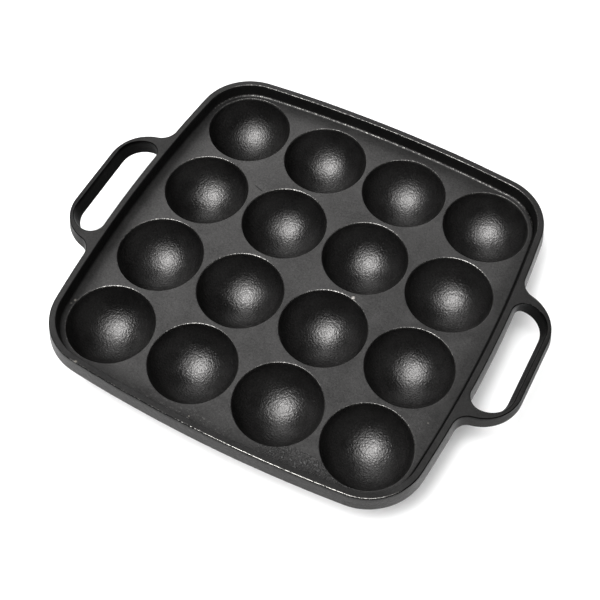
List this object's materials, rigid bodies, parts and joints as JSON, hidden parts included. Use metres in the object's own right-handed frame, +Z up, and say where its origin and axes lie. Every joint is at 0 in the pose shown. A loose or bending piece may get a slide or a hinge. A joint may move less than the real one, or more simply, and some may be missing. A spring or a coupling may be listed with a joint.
{
  "type": "takoyaki pan",
  "caption": "Square cast-iron takoyaki pan: a plate of hemispherical wells in a grid, a low raised rim and a loop handle on each of two opposite sides.",
  "frame": {"origin": "on the surface that the pan stands on, below the middle of the plate", "axes": "+Z up, +X towards the right handle, +Y away from the viewer; the handles lie on the X axis"},
  "size_m": [0.2526, 0.209, 0.0331],
  "materials": {
    "cast_iron": "near-black seasoned casting, satin, finely pebbled in the wells and grainy on the plate"
  },
  "bodies": {
    "root": {"cooking_plate": "cast_iron", "rim": "cast_iron", "handle_left": "cast_iron", "handle_right": "cast_iron", "well_a1": "cast_iron", "well_a2": "cast_iron", "well_a3": "cast_iron", "well_a4": "cast_iron", "well_b1": "cast_iron", "well_b2": "cast_iron", "well_b3": "cast_iron", "well_b4": "cast_iron", "well_c1": "cast_iron", "well_c2": "cast_iron", "well_c3": "cast_iron", "well_c4": "cast_iron", "well_d1": "cast_iron", "well_d2": "cast_iron", "well_d3": "cast_iron", "well_d4": "cast_iron"}
  },
  "joints": []
}
